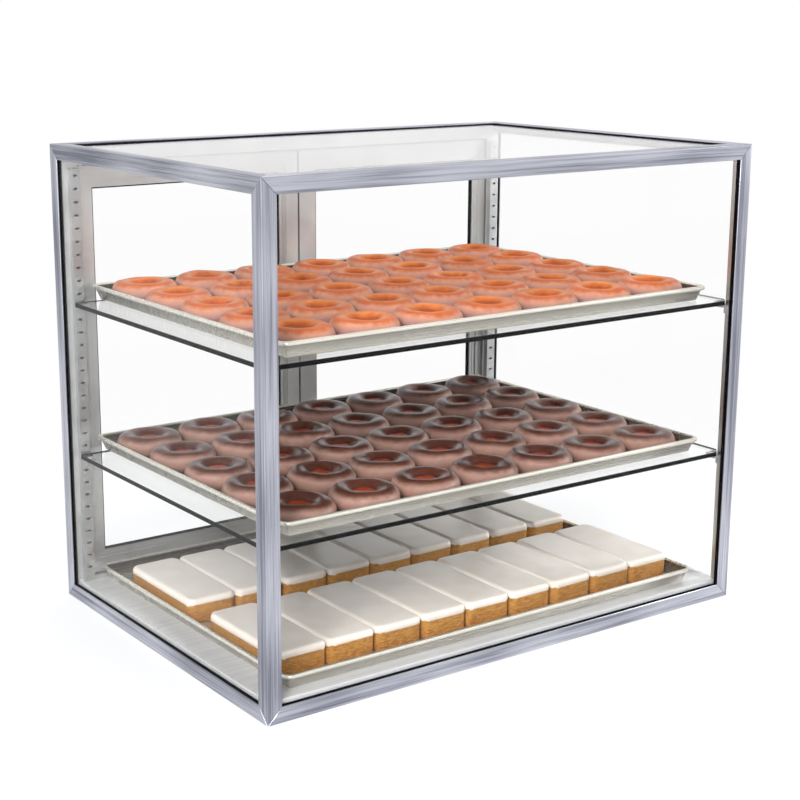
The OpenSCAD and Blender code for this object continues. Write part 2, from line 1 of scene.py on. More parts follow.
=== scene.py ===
"""Bakery display case on a pale floor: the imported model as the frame, with rolled,
brushed, glazed and baked surfaces worked out with numpy. Lengths are millimetres, turned
to metres where a mesh is made."""
import bpy
import json
import math
import numpy as np
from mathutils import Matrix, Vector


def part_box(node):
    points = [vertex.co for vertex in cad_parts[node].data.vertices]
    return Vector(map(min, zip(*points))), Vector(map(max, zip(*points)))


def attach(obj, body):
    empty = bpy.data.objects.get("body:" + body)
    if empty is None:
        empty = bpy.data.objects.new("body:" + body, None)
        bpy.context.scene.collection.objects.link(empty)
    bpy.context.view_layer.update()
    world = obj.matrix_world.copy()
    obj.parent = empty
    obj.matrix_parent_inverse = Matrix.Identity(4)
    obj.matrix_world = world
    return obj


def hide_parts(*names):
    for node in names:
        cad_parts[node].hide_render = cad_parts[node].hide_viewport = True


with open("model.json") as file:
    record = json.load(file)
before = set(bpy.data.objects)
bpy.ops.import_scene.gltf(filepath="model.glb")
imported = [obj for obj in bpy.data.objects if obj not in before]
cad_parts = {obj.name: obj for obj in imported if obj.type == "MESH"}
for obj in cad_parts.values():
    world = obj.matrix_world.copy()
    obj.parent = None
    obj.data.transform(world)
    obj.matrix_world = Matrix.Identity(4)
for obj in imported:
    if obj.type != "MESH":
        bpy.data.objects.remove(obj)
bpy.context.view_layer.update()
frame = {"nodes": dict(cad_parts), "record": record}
NODES = frame["nodes"]


def placed(node):
    """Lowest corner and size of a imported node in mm, to a tenth."""
    low, high = np.array(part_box(node)) * 1000
    return np.round(low, 1), np.round(high - low, 1)


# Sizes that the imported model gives
near_low = placed("front_left_post")[0]
far_low, far_size = placed("rear_right_post")
shelf_low, shelf_size = placed("lower_shelf")
pan_low, pan_size = placed("bottom_pan")
CASE = far_low + far_size - near_low
FACE = far_size[0]
SHELF_Z = {node: placed(node)[0][2] for node in ("lower_shelf", "upper_shelf")}
PAN_Z = {node: placed(node)[0][2] for node in ("bottom_pan", "middle_pan", "top_pan")}

# Frame angle: its sheet, the round of its outer corner and the eased ends of its
# flanges. The groove at a mitre starts and ends so far from the joint, and its depth is
# a share of the sheet.
SHEET, OUTER_ROUND, EASED = 1.5, 1.4, 0.35
GROOVE = dict(start=0.12, end=0.6, depth=0.3)
# Shelves: their cut front corners, round rear corners and ground arris
SHELF = dict(edge=shelf_low[0] - near_low[0], wide=shelf_size[0], deep=shelf_size[1],
             thick=shelf_size[2], cut=12.0, rear_r=3.0, arris=0.7)
PAN = dict(length=pan_size[0], depth=pan_size[1], high=pan_size[2],
           back=pan_low[1] + pan_size[1] / 2, sheet=1.2, bead=3.0, corner=13.0, flare=6.0,
           foot=2.0)

# Goods: the room left over along and across the pan, and the gaps between them
NUT = dict(cols=7, rows=5, room=18.0, gap=3.0, tube=15.5, web=20.0,
           high=placed("glazed_doughnuts")[1][2])
NUT["pitch"] = (round((PAN["length"] - NUT["room"]) / NUT["cols"], 3),
                (PAN["depth"] - NUT["room"]) / NUT["rows"])
NUT["wide"] = NUT["pitch"][1] - NUT["gap"]
BAR = dict(cols=9, rows=2, room=27.0, gap=1.0, row_gap=44.0, long=170.0, forward=15.0,
           corner=11.0, shoulder=6.0, high=placed("iced_bars")[1][2])
BAR["pitch"] = (round((PAN["length"] - BAR["room"]) / BAR["cols"], 3),
                BAR["long"] + BAR["row_gap"])
BAR["wide"] = round(BAR["pitch"][0] - BAR["gap"], 3)
# Skins of glaze and icing: how thick, how sharply they end, and how far the line where
# they end wanders. The icing's line is a share of the bar's height, and is scalloped.
GLAZE = dict(thick=0.7, steep=90, wander=0.035)
ICING = dict(thick=0.6, steep=60, wander=0.055, scallop=0.014, line=0.71)
rng = np.random.default_rng(7)


# Meshes

def grid(nu, nv, wrap_u=False, wrap_v=False):
    """Quads between the points of an nu by nv grid numbered row by row, joined end to
    end where it wraps."""
    u = np.arange(nu if wrap_u else nu - 1)[:, None]
    v = np.arange(nv if wrap_v else nv - 1)[None, :]
    u2, v2 = (u + 1) % nu, (v + 1) % nv
    corners = [u * nv + v, u2 * nv + v, u2 * nv + v2, u * nv + v2]
    return np.stack(corners, -1).reshape(-1, 4)


def shells(count, nu, nv):
    """Faces of count shells of nu by nv points each, closed round u, and by a cap over
    the first and over the last point of every row."""
    first = (np.arange(count) * nu * nv)[:, None, None]
    quads = (grid(nu, nv, wrap_u=True)[None] + first).reshape(-1, 4)
    start = (np.arange(nu) * nv)[None, ::-1] + first[:, 0]
    end = (np.arange(nu) * nv + nv - 1)[None] + first[:, 0]
    return [quads, start, end]


def piece(name, points, faces, body, replaced=(), flip=False, sharp=40.0,
          fields=None):
    """A mesh from points in mm and arrays of quads or polygons, turned round where flip
    is true, with edges sharper than sharp degrees kept crisp. fields are point
    attributes."""
    mesh = bpy.data.meshes.new(name)
    metres = np.asarray(points, np.float32) * 0.001
    groups = [f[:, ::-1] if flip else f for f in faces]
    sizes = np.concatenate([np.full(len(f), f.shape[1]) for f in groups])
    loops = np.concatenate([f.ravel() for f in groups])
    mesh.vertices.add(len(metres))
    mesh.vertices.foreach_set("co", metres.ravel())
    mesh.loops.add(len(loops))
    mesh.loops.foreach_set("vertex_index", loops.astype(np.int32))
    mesh.polygons.add(len(sizes))
    starts = np.concatenate([[0], np.cumsum(sizes)[:-1]])
    mesh.polygons.foreach_set("loop_start", starts.astype(np.int32))
    for key, values in (fields or {}).items():
        layer = mesh.attributes.new(key, "FLOAT", "POINT")
        layer.data.foreach_set("value", np.asarray(values, np.float32))
    mesh.update(calc_edges=True)
    mesh.validate()
    mesh.shade_smooth()
    mesh.set_sharp_from_angle(angle=math.radians(sharp))
    obj = bpy.data.objects.new(name, mesh)
    bpy.context.scene.collection.objects.link(obj)
    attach(obj, body)
    if replaced:
        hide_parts(*replaced)
    return obj


def arc(cx, cy, r, start, end, n):
    """n points of a circle's arc between two angles in degrees."""
    a = np.radians(np.linspace(start, end, n))
    return np.stack([cx + r * np.cos(a), cy + r * np.sin(a)], -1)


def from_corner(points, right, back, top):
    """Points measured from an outside corner of the case, put at that corner: an axis
    whose side is 1 runs back from the far face."""
    side = np.array([right, back, top], float)
    corner = (side - np.array([0.5, 0.5, 0])) * CASE
    return corner + points * (1 - 2 * side)


# Frame members

def angle_profile():
    """Outer and inner line of the frame angle in (y, z), point for point: the outer
    corner is round and the flanges' ends are eased. The inner corner is sharp, with its
    points a hair apart to match the outer arc's."""
    middle, steps, hair = FACE * 0.6, 7, 0.02
    outer = np.concatenate([
        [[FACE, EASED], [FACE - EASED, 0], [middle, 0]],
        arc(OUTER_ROUND, OUTER_ROUND, OUTER_ROUND, 270, 180, steps),
        [[0, middle], [0, FACE - EASED], [EASED, FACE]],
    ])
    corner = np.stack([np.linspace(hair, 0, steps), np.linspace(0, hair, steps)], -1)
    inner = np.concatenate([
        [[FACE, SHEET - EASED], [FACE - EASED, SHEET], [middle, SHEET]],
        SHEET + corner,
        [[SHEET, middle], [SHEET, FACE - EASED], [SHEET - EASED, FACE]],
    ])
    return outer, inner


def mitred_angle(axis, length, right, back, top):
    """The angle carried along one axis. Each profile point starts and ends at a distance
    from the corner equal to its larger offset, which is the three-way mitre, and the last
    half millimetre is drawn in to leave a fine groove at the joint."""
    outer, inner = angle_profile()
    n = len(outer)
    loop = np.concatenate([outer, inner[::-1]])
    toward = np.concatenate([inner, outer[::-1]])
    share = np.concatenate([np.full(n, GROOVE["depth"]), np.zeros(n)])[:, None]
    drawn = loop + (toward - loop) * share
    rings = []
    for profile, clear in ((drawn, GROOVE["start"]), (loop, GROOVE["end"])):
        rings.append(np.column_stack([profile.max(1) + clear, profile]))
    far = [np.column_stack([length - ring[:, 0], ring[:, 1:]]) for ring in rings[::-1]]
    stations = np.stack(rings + far)
    # a member along Y has its flanges in X and Z, one along Z in X and Y
    order = {"x": [0, 1, 2], "y": [1, 0, 2], "z": [1, 2, 0]}[axis]
    points = stations.reshape(-1, 3)[:, order]
    m, k = len(stations), len(loop)
    i = np.arange(n - 1)
    cap = np.stack([i, i + 1, k - 2 - i, k - 1 - i], -1)
    faces = [grid(m, k, wrap_v=True), cap[:, ::-1], cap + (m - 1) * k]
    # X and Z keep the axes' turn, Y swaps it, and so does each side that is mirrored
    mirrored = (right + back + top) % 2 == 1
    return points, faces, mirrored != (axis == "y")


MEMBERS = (
    [(f"{fb}_{bt}_rail", "x", 0, b, t) for fb, b in (("front", 0), ("rear", 1))
     for bt, t in (("bottom", 0), ("top", 1))]
    + [(f"{lr}_{bt}_rail", "y", r, 0, t) for lr, r in (("left", 0), ("right", 1))
       for bt, t in (("bottom", 0), ("top", 1))]
    + [(f"{fb}_{lr}_post", "z", r, b, 0) for fb, b in (("front", 0), ("rear", 1))
       for lr, r in (("left", 0), ("right", 1))]
)
frame_pieces = {"x": [], "y": [], "z": []}
for node, axis, right, back, top in MEMBERS:
    length = CASE["xyz".index(axis)]
    points, faces, flip = mitred_angle(axis, length, right, back, top)
    points = from_corner(points, right, back, top)
    member = piece(node + "_brushed", points, faces, "case", [node], flip, 30)
    frame_pieces[axis].append(member)


# Shelves

def shelf_glass(name, z, body):
    """The shelf's outline carried through its thickness, with an arris ground at 45
    degrees on both edges. The edge faces take the second material."""
    w, d, r, cut = SHELF["wide"], SHELF["deep"], SHELF["rear_r"], SHELF["cut"]
    line = np.concatenate([
        [[cut, 0], [w - cut, 0], [w, cut]],
        arc(w - r, d - r, r, 0, 90, 7), arc(r, d - r, r, 90, 180, 7),
        [[0, cut]],
    ]) + SHELF["edge"]
    centre = line.mean(0)
    away = line - centre
    t, arris = SHELF["thick"], SHELF["arris"]
    rings = []
    for h, inset in ((0, arris), (arris, 0), (t - arris, 0), (t, arris)):
        shrink = 1 - inset / np.abs(away).max(0)
        rings.append(np.column_stack([centre + away * shrink, np.full(len(line), z + h)]))
    n = len(line)
    points = from_corner(np.concatenate(rings), 0, 0, 0)
    ends = [np.arange(n)[None, ::-1], 3 * n + np.arange(n)[None, :]]
    plate = piece(name + "_plate", points, ends + [grid(4, n, wrap_v=True)[:, ::-1]], body,
                  [name], sharp=20)
    on_edge = np.arange(len(plate.data.polygons)) > 1
    plate.data.materials.append(None)
    plate.data.materials.append(None)
    plate.data.polygons.foreach_set("material_index", on_edge.astype(np.int32))
    return plate


shelves = [shelf_glass(node, z, node + "_body") for node, z in SHELF_Z.items()]


# Sheet pans

def pan_section():
    """The pan's section as (offset outward from the rim's corner centre, height): down
    the inside from the middle of the floor, round the rolled bead, and back under the
    floor. The wall leans out by the flare between foot and bead. The second result is the
    share of painted shade, 1 in the creases beside the bead and under the foot, falling off
    as a bell curve."""
    bead_at, bead_z = PAN["corner"] - PAN["bead"], PAN["high"] - PAN["bead"]
    foot_at = bead_at - PAN["bead"] + PAN["sheet"] - PAN["flare"] - PAN["foot"]
    lean = math.degrees(math.atan2(PAN["flare"], bead_z))
    inner = arc(foot_at, PAN["foot"], PAN["foot"] - PAN["sheet"], 270, 360 - lean, 7)
    outer = arc(foot_at, PAN["foot"], PAN["foot"], 360 - lean, 270, 7)
    start, end, steps = 180, -125, 21
    bead = arc(bead_at, bead_z, PAN["bead"], start, end, steps)
    turn = np.linspace(start, end, steps)
    # angle round the bead and width of each crease, in degrees: at the wall's head, and
    # under the bead's free edge
    creases = ((188, 26), (-95, 42))
    # painted shade: how much of the dark crease colour each point of the section takes
    crease_shade = sum(np.exp(-((turn - angle) / width) ** 2) for angle, width in creases)
    crease_shade = np.concatenate([np.zeros(6), [0.5], crease_shade, [0.35], np.zeros(4), [0.5, 0.9]])
    return np.concatenate([inner, bead, outer]), crease_shade


def rounded_path(length, depth, corner, per_corner):
    """Corner centre and outward direction of each station round a rectangle with round
    corners."""
    centre, out = [], []
    for quarter, (sx, sy) in enumerate(((1, 1), (-1, 1), (-1, -1), (1, -1))):
        a = np.radians(np.linspace(quarter * 90, quarter * 90 + 90, per_corner))
        middle = [[sx * (length / 2 - corner), sy * (depth / 2 - corner)]]
        centre.append(np.repeat(middle, per_corner, 0))
        out.append(np.stack([np.cos(a), np.sin(a)], -1))
    return np.concatenate(centre), np.concatenate(out)


def sheet_pan(name, z, body):
    """The section carried round the rim, closed by the flat floor's upper and lower
    face."""
    section, crease_shade = pan_section()
    centre, out = rounded_path(PAN["length"], PAN["depth"], PAN["corner"], 13)
    m, k = len(centre), len(section)
    xy = centre[:, None, :] + out[:, None, :] * section[None, :, :1]
    height = np.broadcast_to(section[None, :, 1:], (m, k, 1)) + z
    points = np.concatenate([xy, height], -1).reshape(-1, 3) + [0, PAN["back"], 0]
    floor_top = (np.arange(m) * k)[None, :]
    under = (np.arange(m) * k + k - 1)[None, ::-1]
    return piece(name + "_drawn", points, [grid(m, k, wrap_u=True), floor_top, under], body,
                 [name], sharp=50, fields=dict(crease_shade=np.tile(crease_shade, m)))


pans = [sheet_pan(node, z, node + "_body") for node, z in PAN_Z.items()]


# Baked goods

def spots(cols, rows, pitch, forward=0.0):
    """Centres of the goods on a pan, column by column."""
    x = (np.arange(cols) - (cols - 1) / 2) * pitch[0]
    y = (np.arange(rows) - (rows - 1) / 2) * pitch[1] + PAN["back"] - forward
    return np.stack(np.meshgrid(x, y, indexing="ij"), -1).reshape(-1, 2)


def waves(angle, count, size):
    """A closed wobble round each ring: a sum of cosines with seeded phases and sizes
    falling with frequency, one row for each item."""
    total = np.zeros((count, len(angle)))
    for k in range(2, 8):
        phase = rng.uniform(0, 2 * np.pi, (count, 1))
        gain = rng.uniform(0.3, 1, (count, 1)) * size / k
        total += gain * np.cos(k * angle[None] + phase)
    return total


def dough_section():
    """Half section of a ring as (radius, height, across): a dished floor in the middle,
    then a circle with a fuller shoulder, its sine and cosine raised to powers below 1,
    from the dimple's edge over the crest to the sole. across is the share of the way
    along it."""
    half = NUT["tube"]
    ring, mid = NUT["wide"] / 2 - half, NUT["high"] - half
    edge = math.degrees(math.asin((NUT["web"] - mid) / half))
    sole = math.degrees(math.asin(mid / half))
    turn = np.radians(np.concatenate([
        np.linspace(180 - edge, 45, 13), np.linspace(38, -14, 11), np.linspace(-24, -sole, 5)]))
    cosine, sine = np.cos(turn), np.sin(turn)
    r = ring + half * np.sign(cosine) * np.abs(cosine) ** 0.92
    h = mid + half * np.sign(sine) * np.abs(sine) ** 0.95
    # radius of each point of the dimple's floor, and its height over the web's 0.8 mm rise
    dimple = np.array([[1.0, -1.2], [4.0, -1.1], [7.5, -0.8], [10.5, -0.3], [13.0, 0.2]])
    r = np.concatenate([dimple[:, 0], r])
    h = np.concatenate([dimple[:, 1] + NUT["web"] + 0.8, np.maximum(h, 0.0)])
    step = np.hypot(np.diff(r), np.diff(h))
    across = np.concatenate([[0.0], np.cumsum(step)])
    return r, h, across / across[-1]


def doughnuts(name, node, z, body, edge):
    """Rings of dough: the half section carried round a circle for each spot on the pan,
    its radius and height wobbled round the ring and tilted by up to a degree. The glaze
    is a skin from the middle out to a wavy edge, where across passes edge."""
    nu = 60
    u = np.linspace(0, 2 * np.pi, nu, endpoint=False)
    r, h, across = dough_section()
    nv = len(r)
    at = spots(NUT["cols"], NUT["rows"], NUT["pitch"])
    n = len(at)
    wobble_r, wobble_h, drip = waves(u, n, 1.0), waves(u, n, 0.9), waves(u, n, 1.0)
    line = across + GLAZE["wander"] * drip[:, :, None]
    skin = GLAZE["thick"] * (1 / (1 + np.exp((line - edge) * GLAZE["steep"])))
    # each ring is a little smaller and lower than the solid, by its own share
    grow = rng.uniform(0.965, 0.98, (n, 1))
    rise = rng.uniform(0.90, 0.95, (n, 1))
    # the wobble in height fades to nothing at the sole, and the skin grows outward on the
    # outer half and inward round the dimple
    lift = np.clip(h / NUT["high"], 0, 1)[None, None]
    outward = np.clip((r - 22) / 15, -0.6, 1)[None, None]
    radius = r[None, None] * (grow * (1 + wobble_r / 55))[:, :, None] + skin * outward
    tilt = rng.uniform(-0.012, 0.012, (2, n, 1, 1))
    x, y = radius * np.cos(u)[None, :, None], radius * np.sin(u)[None, :, None]
    sway = (wobble_h[:, :, None] + tilt[0] * x + tilt[1] * y) * lift
    height = h[None, None] * rise[:, :, None] + sway
    height = height + skin * lift * 0.8
    height = z + PAN["sheet"] + np.clip(height, 0.0, NUT["high"])
    points = np.stack([x + at[:, 0, None, None], y + at[:, 1, None, None], height], -1)
    tone = np.repeat(rng.uniform(0, 1, n), nu * nv)
    return piece(name, points.reshape(-1, 3), shells(n, nu, nv), body, [node],
                 flip=True, sharp=80, fields=dict(across=line.ravel(), tone=tone))


glazed = doughnuts("glazed_rings", "glazed_doughnuts", PAN_Z["top_pan"], "top_pan_body",
                   0.62)
chocolate = doughnuts("chocolate_rings", "chocolate_doughnuts", PAN_Z["middle_pan"],
                      "middle_pan_body", 0.63)


def iced_slices():
    """Loaves: a rectangle with round corners carried up a section of foot, upright side,
    round shoulder and softly swelling top. Past the corner radius the rings shrink in
    straight. The icing is a skin above a wavy line. level is the height from 0 to 1, less
    the wave, so that the line lies at one value of it."""
    corner, shoulder, high = BAR["corner"], BAR["shoulder"], BAR["high"]
    skin_room, steps = 1.3, 14
    centre, out = rounded_path(BAR["wide"] - skin_room, BAR["long"] - skin_room, corner, steps)
    turn = arc(0, 0, shoulder, 0, 90, 10)
    section = np.concatenate([
        [[1.6, 0.0], [0.7, 0.7], [0.3, 2.5]],
        np.stack([np.full(steps, 0.0), np.linspace(5, high - 8, steps)], -1),
        np.stack([shoulder - turn[:, 0], high - 6.8 + turn[:, 1]], -1),
        [[10.0, high - 0.6], [20.0, high - 0.3], [29.0, high - 0.2]],
    ])
    inset, height = section.T
    k, m = len(section), len(centre)
    at = spots(BAR["cols"], BAR["rows"], BAR["pitch"], BAR["forward"])
    n = len(at)
    angle = np.linspace(0, 2 * np.pi, m, endpoint=False)
    wave = ICING["wander"] * waves(angle, n, 1.0)
    wave = wave + ICING["scallop"] * np.cos(9 * angle[None] + rng.uniform(0, 6, (n, 1)))
    level = height[None, None] / high - wave[:, :, None]
    skin = ICING["thick"] / (1 + np.exp((ICING["line"] - level) * ICING["steep"]))
    over = np.maximum(inset - corner, 0.0)[:, None]
    ring = centre[:, None] - np.sign(centre)[:, None] * over
    # the skin stands off the sides and the shoulder, not the top
    reach = np.maximum(corner - inset, 0.02)[None, None, :, None] + (skin * (inset < 9))[..., None]
    bulge = 1 - np.abs(waves(angle, n, 0.5))[:, :, None, None] / 70
    xy = (ring[None] + out[None, :, None] * reach) * bulge
    height = height * rng.uniform(0.972, 0.998, (n, 1, 1))
    height = np.broadcast_to(height, (n, m, k)) + PAN_Z["bottom_pan"] + PAN["sheet"]
    points = np.concatenate([xy + at[:, None, None], height[..., None]], -1)
    tone = np.repeat(rng.uniform(0, 1, n), m * k)
    return piece("iced_slices", points.reshape(-1, 3), shells(n, m, k), "bottom_pan_body",
                 ["iced_bars"], sharp=60,
                 fields=dict(level=level.ravel(), tone=tone))


bars = iced_slices()


# Materials

def srgb(text):
    """Linear RGBA of an sRGB hex colour."""
    v = np.array([int(text[i:i + 2], 16) for i in (1, 3, 5)]) / 255
    linear = np.where(v <= 0.04045, v / 12.92, ((v + 0.055) / 1.055) ** 2.4)
    return (*linear.tolist(), 1.0)


def material(name):
    """An empty node material and its output."""
    mat = bpy.data.materials.new(name)
    mat.use_nodes = True
    mat.node_tree.nodes.clear()
    return mat, mat.node_tree.nodes.new("ShaderNodeOutputMaterial")


def add(mat, kind, links=None, values=None, **settings):
    """Adds a node with its settings, socket values and incoming links."""
    node = mat.node_tree.nodes.new("ShaderNode" + kind)
    for key, value in settings.items():
        setattr(node, key, value)
    for key, value in (values or {}).items():
        node.inputs[key].default_value = value
    for key, socket in (links or {}).items():
        mat.node_tree.links.new(socket, node.inputs[key])
    return node


def ramp(mat, factor, stops):
    """A colour ramp through (place, hex) stops."""
    node = add(mat, "ValToRGB", {"Fac": factor})
    marks = node.color_ramp.elements
    while len(marks) < len(stops):
        marks.new(0.5)
    for mark, (place, colour) in zip(marks, stops):
        mark.position = place
        mark.color = srgb(colour)
    return node.outputs["Color"]


def paint(obj, mat):
    """Gives every slot of an object this material."""
    obj.data.materials.clear()
    obj.data.materials.append(mat)


def brushed(name, grain, low, high, rough, depth=0.12, scale=900.0, crease=None,
            metallic=1.0):
    """Belt-ground sheet: grit lines run along grain, drawn about 1 mm apart, coarser than
    real, so that they show, over broader bands, partly polishing and partly painted
    reflection, and slow light and dark changes of tone along the length, which are
    painted reflection. Where crease names a colour, it is laid into the creases as painted
    shade, as far as the section's crease attribute says."""
    mat, out = material(name)
    coords = add(mat, "TexCoord").outputs["Object"]

    def stretched(across, along, detail):
        size = [along if axis == grain else across for axis in "xyz"]
        span = add(mat, "Mapping", {"Vector": coords}, {"Scale": size})
        return add(mat, "TexNoise", {"Vector": span.outputs[0]},
                   {"Scale": 1.0, "Detail": detail, "Roughness": 0.6}).outputs["Fac"]

    lines = stretched(scale, scale * 0.012, 3.0)
    # broad bands, partly polishing and partly painted reflection
    polish_and_reflection_bands = stretched(170.0, 2.2, 1.5)
    # painted reflection: slow light and dark zones along the length
    painted_reflection_tones = stretched(3.5, 5.0, 1.0)
    mixed = add(mat, "Math", {0: lines, 1: polish_and_reflection_bands}, operation="ADD").outputs[0]
    mixed = add(mat, "Math", {0: mixed, 1: painted_reflection_tones}, operation="ADD").outputs[0]
    share = add(mat, "Math", {0: mixed}, {1: 3.0}, operation="DIVIDE").outputs[0]
    colour = ramp(mat, share, [(0.40, low), (0.60, high)])
    # painted shade: the crease colour, laid where the section's creases are
    if crease:
        crease_shade = add(mat, "Attribute", attribute_name="crease_shade").outputs["Fac"]
        painted_shade = add(mat, "Mix", {0: crease_shade, 6: colour}, {7: srgb(crease)}, data_type="RGBA")
        colour = painted_shade.outputs[2]
    rubbed = add(mat, "MapRange", {"Value": share},
                 {"From Min": 0.4, "From Max": 0.6,
                  "To Min": rough + 0.08, "To Max": rough - 0.05})
    bump = add(mat, "Bump", {"Height": lines}, {"Strength": depth, "Distance": 0.0003})
    shader = add(mat, "BsdfPrincipled",
                 {"Base Color": colour, "Roughness": rubbed.outputs[0],
                  "Normal": bump.outputs[0]}, {"Metallic": metallic})
    mat.node_tree.links.new(shader.outputs[0], out.inputs["Surface"])
    return mat


def satin(name, low, high, rough, metallic, grit=260.0, depth=0.08, mirror=0.5):
    """A fine even surface, such as anodised or painted metal or moulded nylon: a faint
    mottle in tone and roughness, and a grain felt more than seen."""
    mat, out = material(name)
    coords = add(mat, "TexCoord").outputs["Object"]
    cloud = add(mat, "TexNoise", {"Vector": coords}, {"Scale": 22.0, "Detail": 5.0})
    grain = add(mat, "TexNoise", {"Vector": coords}, {"Scale": grit * 10, "Detail": 2.0})
    colour = ramp(mat, cloud.outputs["Fac"], [(0.3, low), (0.7, high)])
    rubbed = add(mat, "MapRange", {"Value": cloud.outputs["Fac"]},
                 {"From Min": 0.3, "From Max": 0.7,
                  "To Min": rough - 0.05, "To Max": rough + 0.07})
    bump = add(mat, "Bump", {"Height": grain.outputs["Fac"]},
               {"Strength": depth, "Distance": 0.0002})
    shader = add(mat, "BsdfPrincipled",
                 {"Base Color": colour, "Roughness": rubbed.outputs[0],
                  "Normal": bump.outputs[0]},
                 {"Metallic": metallic, "Specular IOR Level": mirror})
    mat.node_tree.links.new(shader.outputs[0], out.inputs["Surface"])
    return mat


def glass(name, tint):
    """Polished float glass: clear, with wiping marks that take a little of its gloss, and
    lamps shine through it. The case hardly mirrors the room, so the IOR is taken down
    from 1.5 to where a face mirrors as little."""
    mat, out = material(name)
    coords = add(mat, "TexCoord").outputs["Object"]
    wipes = add(mat, "TexNoise", {"Vector": coords}, {"Scale": 9.0, "Detail": 3.0})
    rubbed = add(mat, "MapRange", {"Value": wipes.outputs["Fac"]},
                 {"From Min": 0.5, "From Max": 0.8, "To Min": 0.0, "To Max": 0.015})
    shader = add(mat, "BsdfPrincipled", {"Roughness": rubbed.outputs[0]},
                 {"Base Color": srgb(tint), "Transmission Weight": 1.0, "IOR": 1.12})
    clear = add(mat, "BsdfTransparent", values={"Color": srgb(tint)})
    path = add(mat, "LightPath")
    mix = add(mat, "MixShader", {"Fac": path.outputs["Is Shadow Ray"],
                                 1: shader.outputs[0], 2: clear.outputs[0]})
    mat.node_tree.links.new(mix.outputs[0], out.inputs["Surface"])
    return mat


def ground_edge(name):
    """Cut edge of a glass shelf: nearly black, as light leaves it only along the plate.
    The ground arris above is a thin line, a little lighter where it faces up: a painted highlight."""
    mat, out = material(name)
    up = add(mat, "SeparateXYZ", {"Vector": add(mat, "NewGeometry").outputs["Normal"]})
    # painted highlight: faces that point up are lighter than the rest of the edge
    colour = ramp(mat, up.outputs["Z"], [(0.2, "#040505"), (0.6, "#050606"), (0.72, "#2c3030")])
    coords = add(mat, "TexCoord").outputs["Object"]
    grit = add(mat, "TexNoise", {"Vector": coords}, {"Scale": 1500.0, "Detail": 2.0})
    bump = add(mat, "Bump", {"Height": grit.outputs["Fac"]},
               {"Strength": 0.1, "Distance": 0.0002})
    shader = add(mat, "BsdfPrincipled", {"Base Color": colour, "Normal": bump.outputs[0]},
                 {"Roughness": 0.5, "Specular IOR Level": 0.08})
    mat.node_tree.links.new(shader.outputs[0], out.inputs["Surface"])
    return mat


def glazed_crust(name, stops, gloss, coat, ragged):
    """Fried dough under glaze. stops colour it from the middle, 0, over the crest to the
    sole, 1: the glaze ends in a pale band of bare dough above the browned sole. A mottle
    a few millimetres wide varies the browning, and pores about 1 mm apart roughen it."""
    mat, out = material(name)
    coords = add(mat, "TexCoord").outputs["Object"]
    across = add(mat, "Attribute", attribute_name="across").outputs["Fac"]
    tone = add(mat, "Attribute", attribute_name="tone").outputs["Fac"]
    mottle = add(mat, "TexNoise", {"Vector": coords},
                 {"Scale": 110.0, "Detail": 5.0, "Roughness": 0.6})
    shift = add(mat, "MapRange", {"Value": mottle.outputs["Fac"]},
                {"From Min": 0.3, "From Max": 0.7, "To Min": -ragged, "To Max": ragged})
    place = add(mat, "Math", {0: across, 1: shift.outputs[0]}, operation="ADD")
    colour = ramp(mat, place.outputs[0], stops)
    dark = add(mat, "MapRange", {"Value": mottle.outputs["Fac"]},
               {"From Min": 0.3, "From Max": 0.7, "To Min": 0.86, "To Max": 1.12})
    batch = add(mat, "MapRange", {"Value": tone}, {"To Min": 0.9, "To Max": 1.06})
    gain = add(mat, "Math", {0: dark.outputs[0], 1: batch.outputs[0]}, operation="MULTIPLY")
    shade = add(mat, "VectorMath", {0: colour, "Scale": gain.outputs[0]}, operation="SCALE")
    pores = add(mat, "TexVoronoi", {"Vector": coords}, {"Scale": 700.0})
    bump = add(mat, "Bump", {"Height": pores.outputs["Distance"]},
               {"Strength": 0.1, "Distance": 0.0003})
    bare = add(mat, "MapRange", {"Value": across},
               {"From Min": 0.70, "From Max": 0.80, "To Min": 0.0, "To Max": 1.0})
    dry = add(mat, "MapRange", {"Value": bare.outputs[0]}, {"To Min": gloss, "To Max": 0.6})
    wet = add(mat, "MapRange", {"Value": bare.outputs[0]}, {"To Min": coat, "To Max": 0.0})
    shader = add(mat, "BsdfPrincipled",
                 {"Base Color": shade.outputs[0], "Roughness": dry.outputs[0],
                  "Coat Weight": wet.outputs[0], "Normal": bump.outputs[0]},
                 {"Coat Roughness": 0.05, "Specular IOR Level": 0.05})
    mat.node_tree.links.new(shader.outputs[0], out.inputs["Surface"])
    return mat


